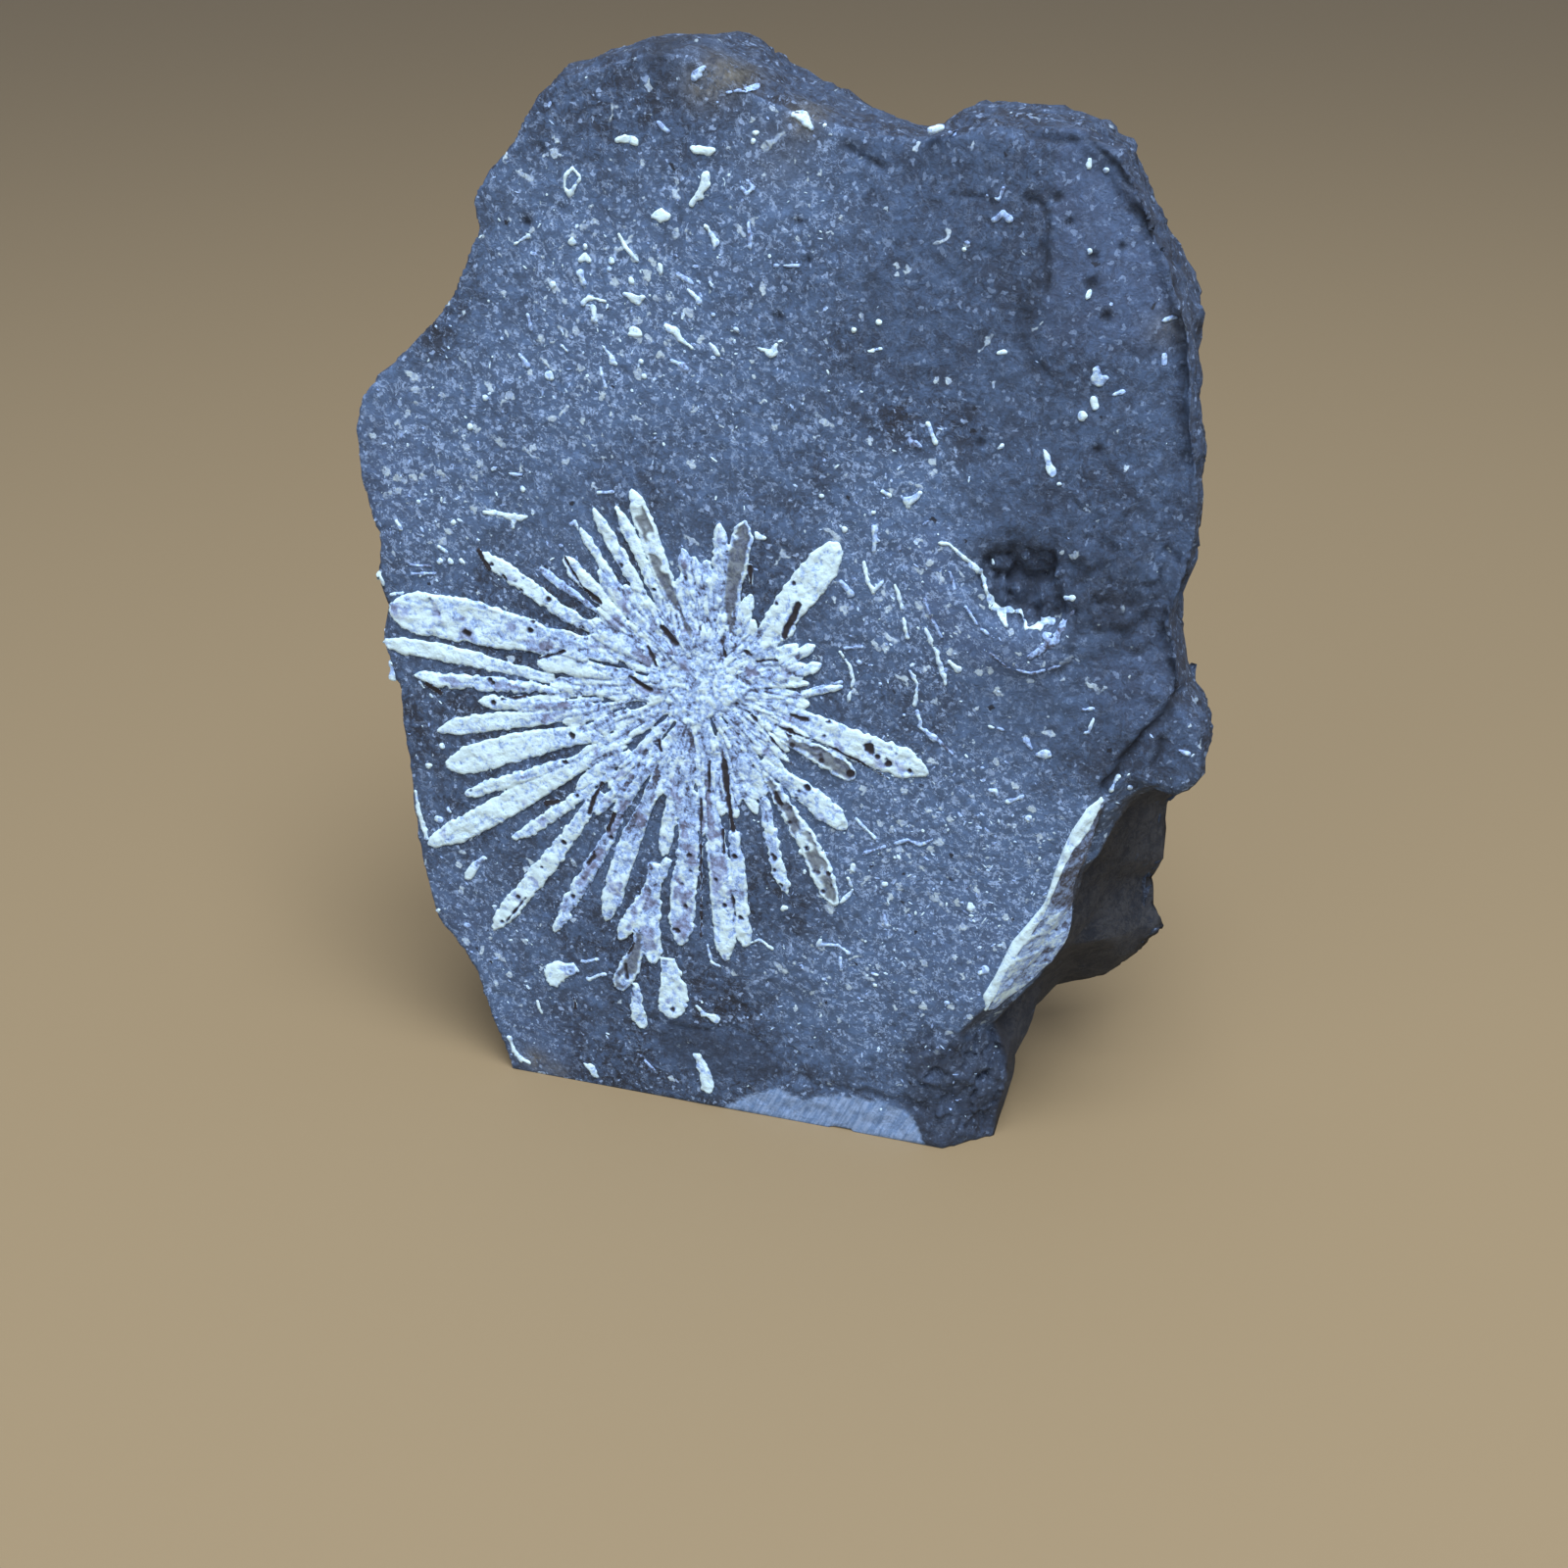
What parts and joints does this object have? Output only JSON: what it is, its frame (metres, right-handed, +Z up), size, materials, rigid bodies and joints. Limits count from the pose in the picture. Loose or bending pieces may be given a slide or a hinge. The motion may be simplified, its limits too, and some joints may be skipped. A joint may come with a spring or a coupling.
{
  "type": "chrysanthemum stone",
  "caption": "Upright slab of dark limestone with a raised flower of white calcite crystals in its face, a broken lower corner and a flat sawn foot.",
  "frame": {"origin": "centre of the bounding box, at the foot's sawn face", "axes": "+Z up, +X along the slab to the right seen from the front, the crystal flower's face looks towards -Y"},
  "size_m": [0.1113, 0.0326, 0.1451],
  "materials": {
    "limestone": "matte, finely rough dark blue-grey stone",
    "calcite": "satin, pale blue-white crystal"
  },
  "bodies": {
    "root": {"stone": "limestone"}
  },
  "joints": []
}
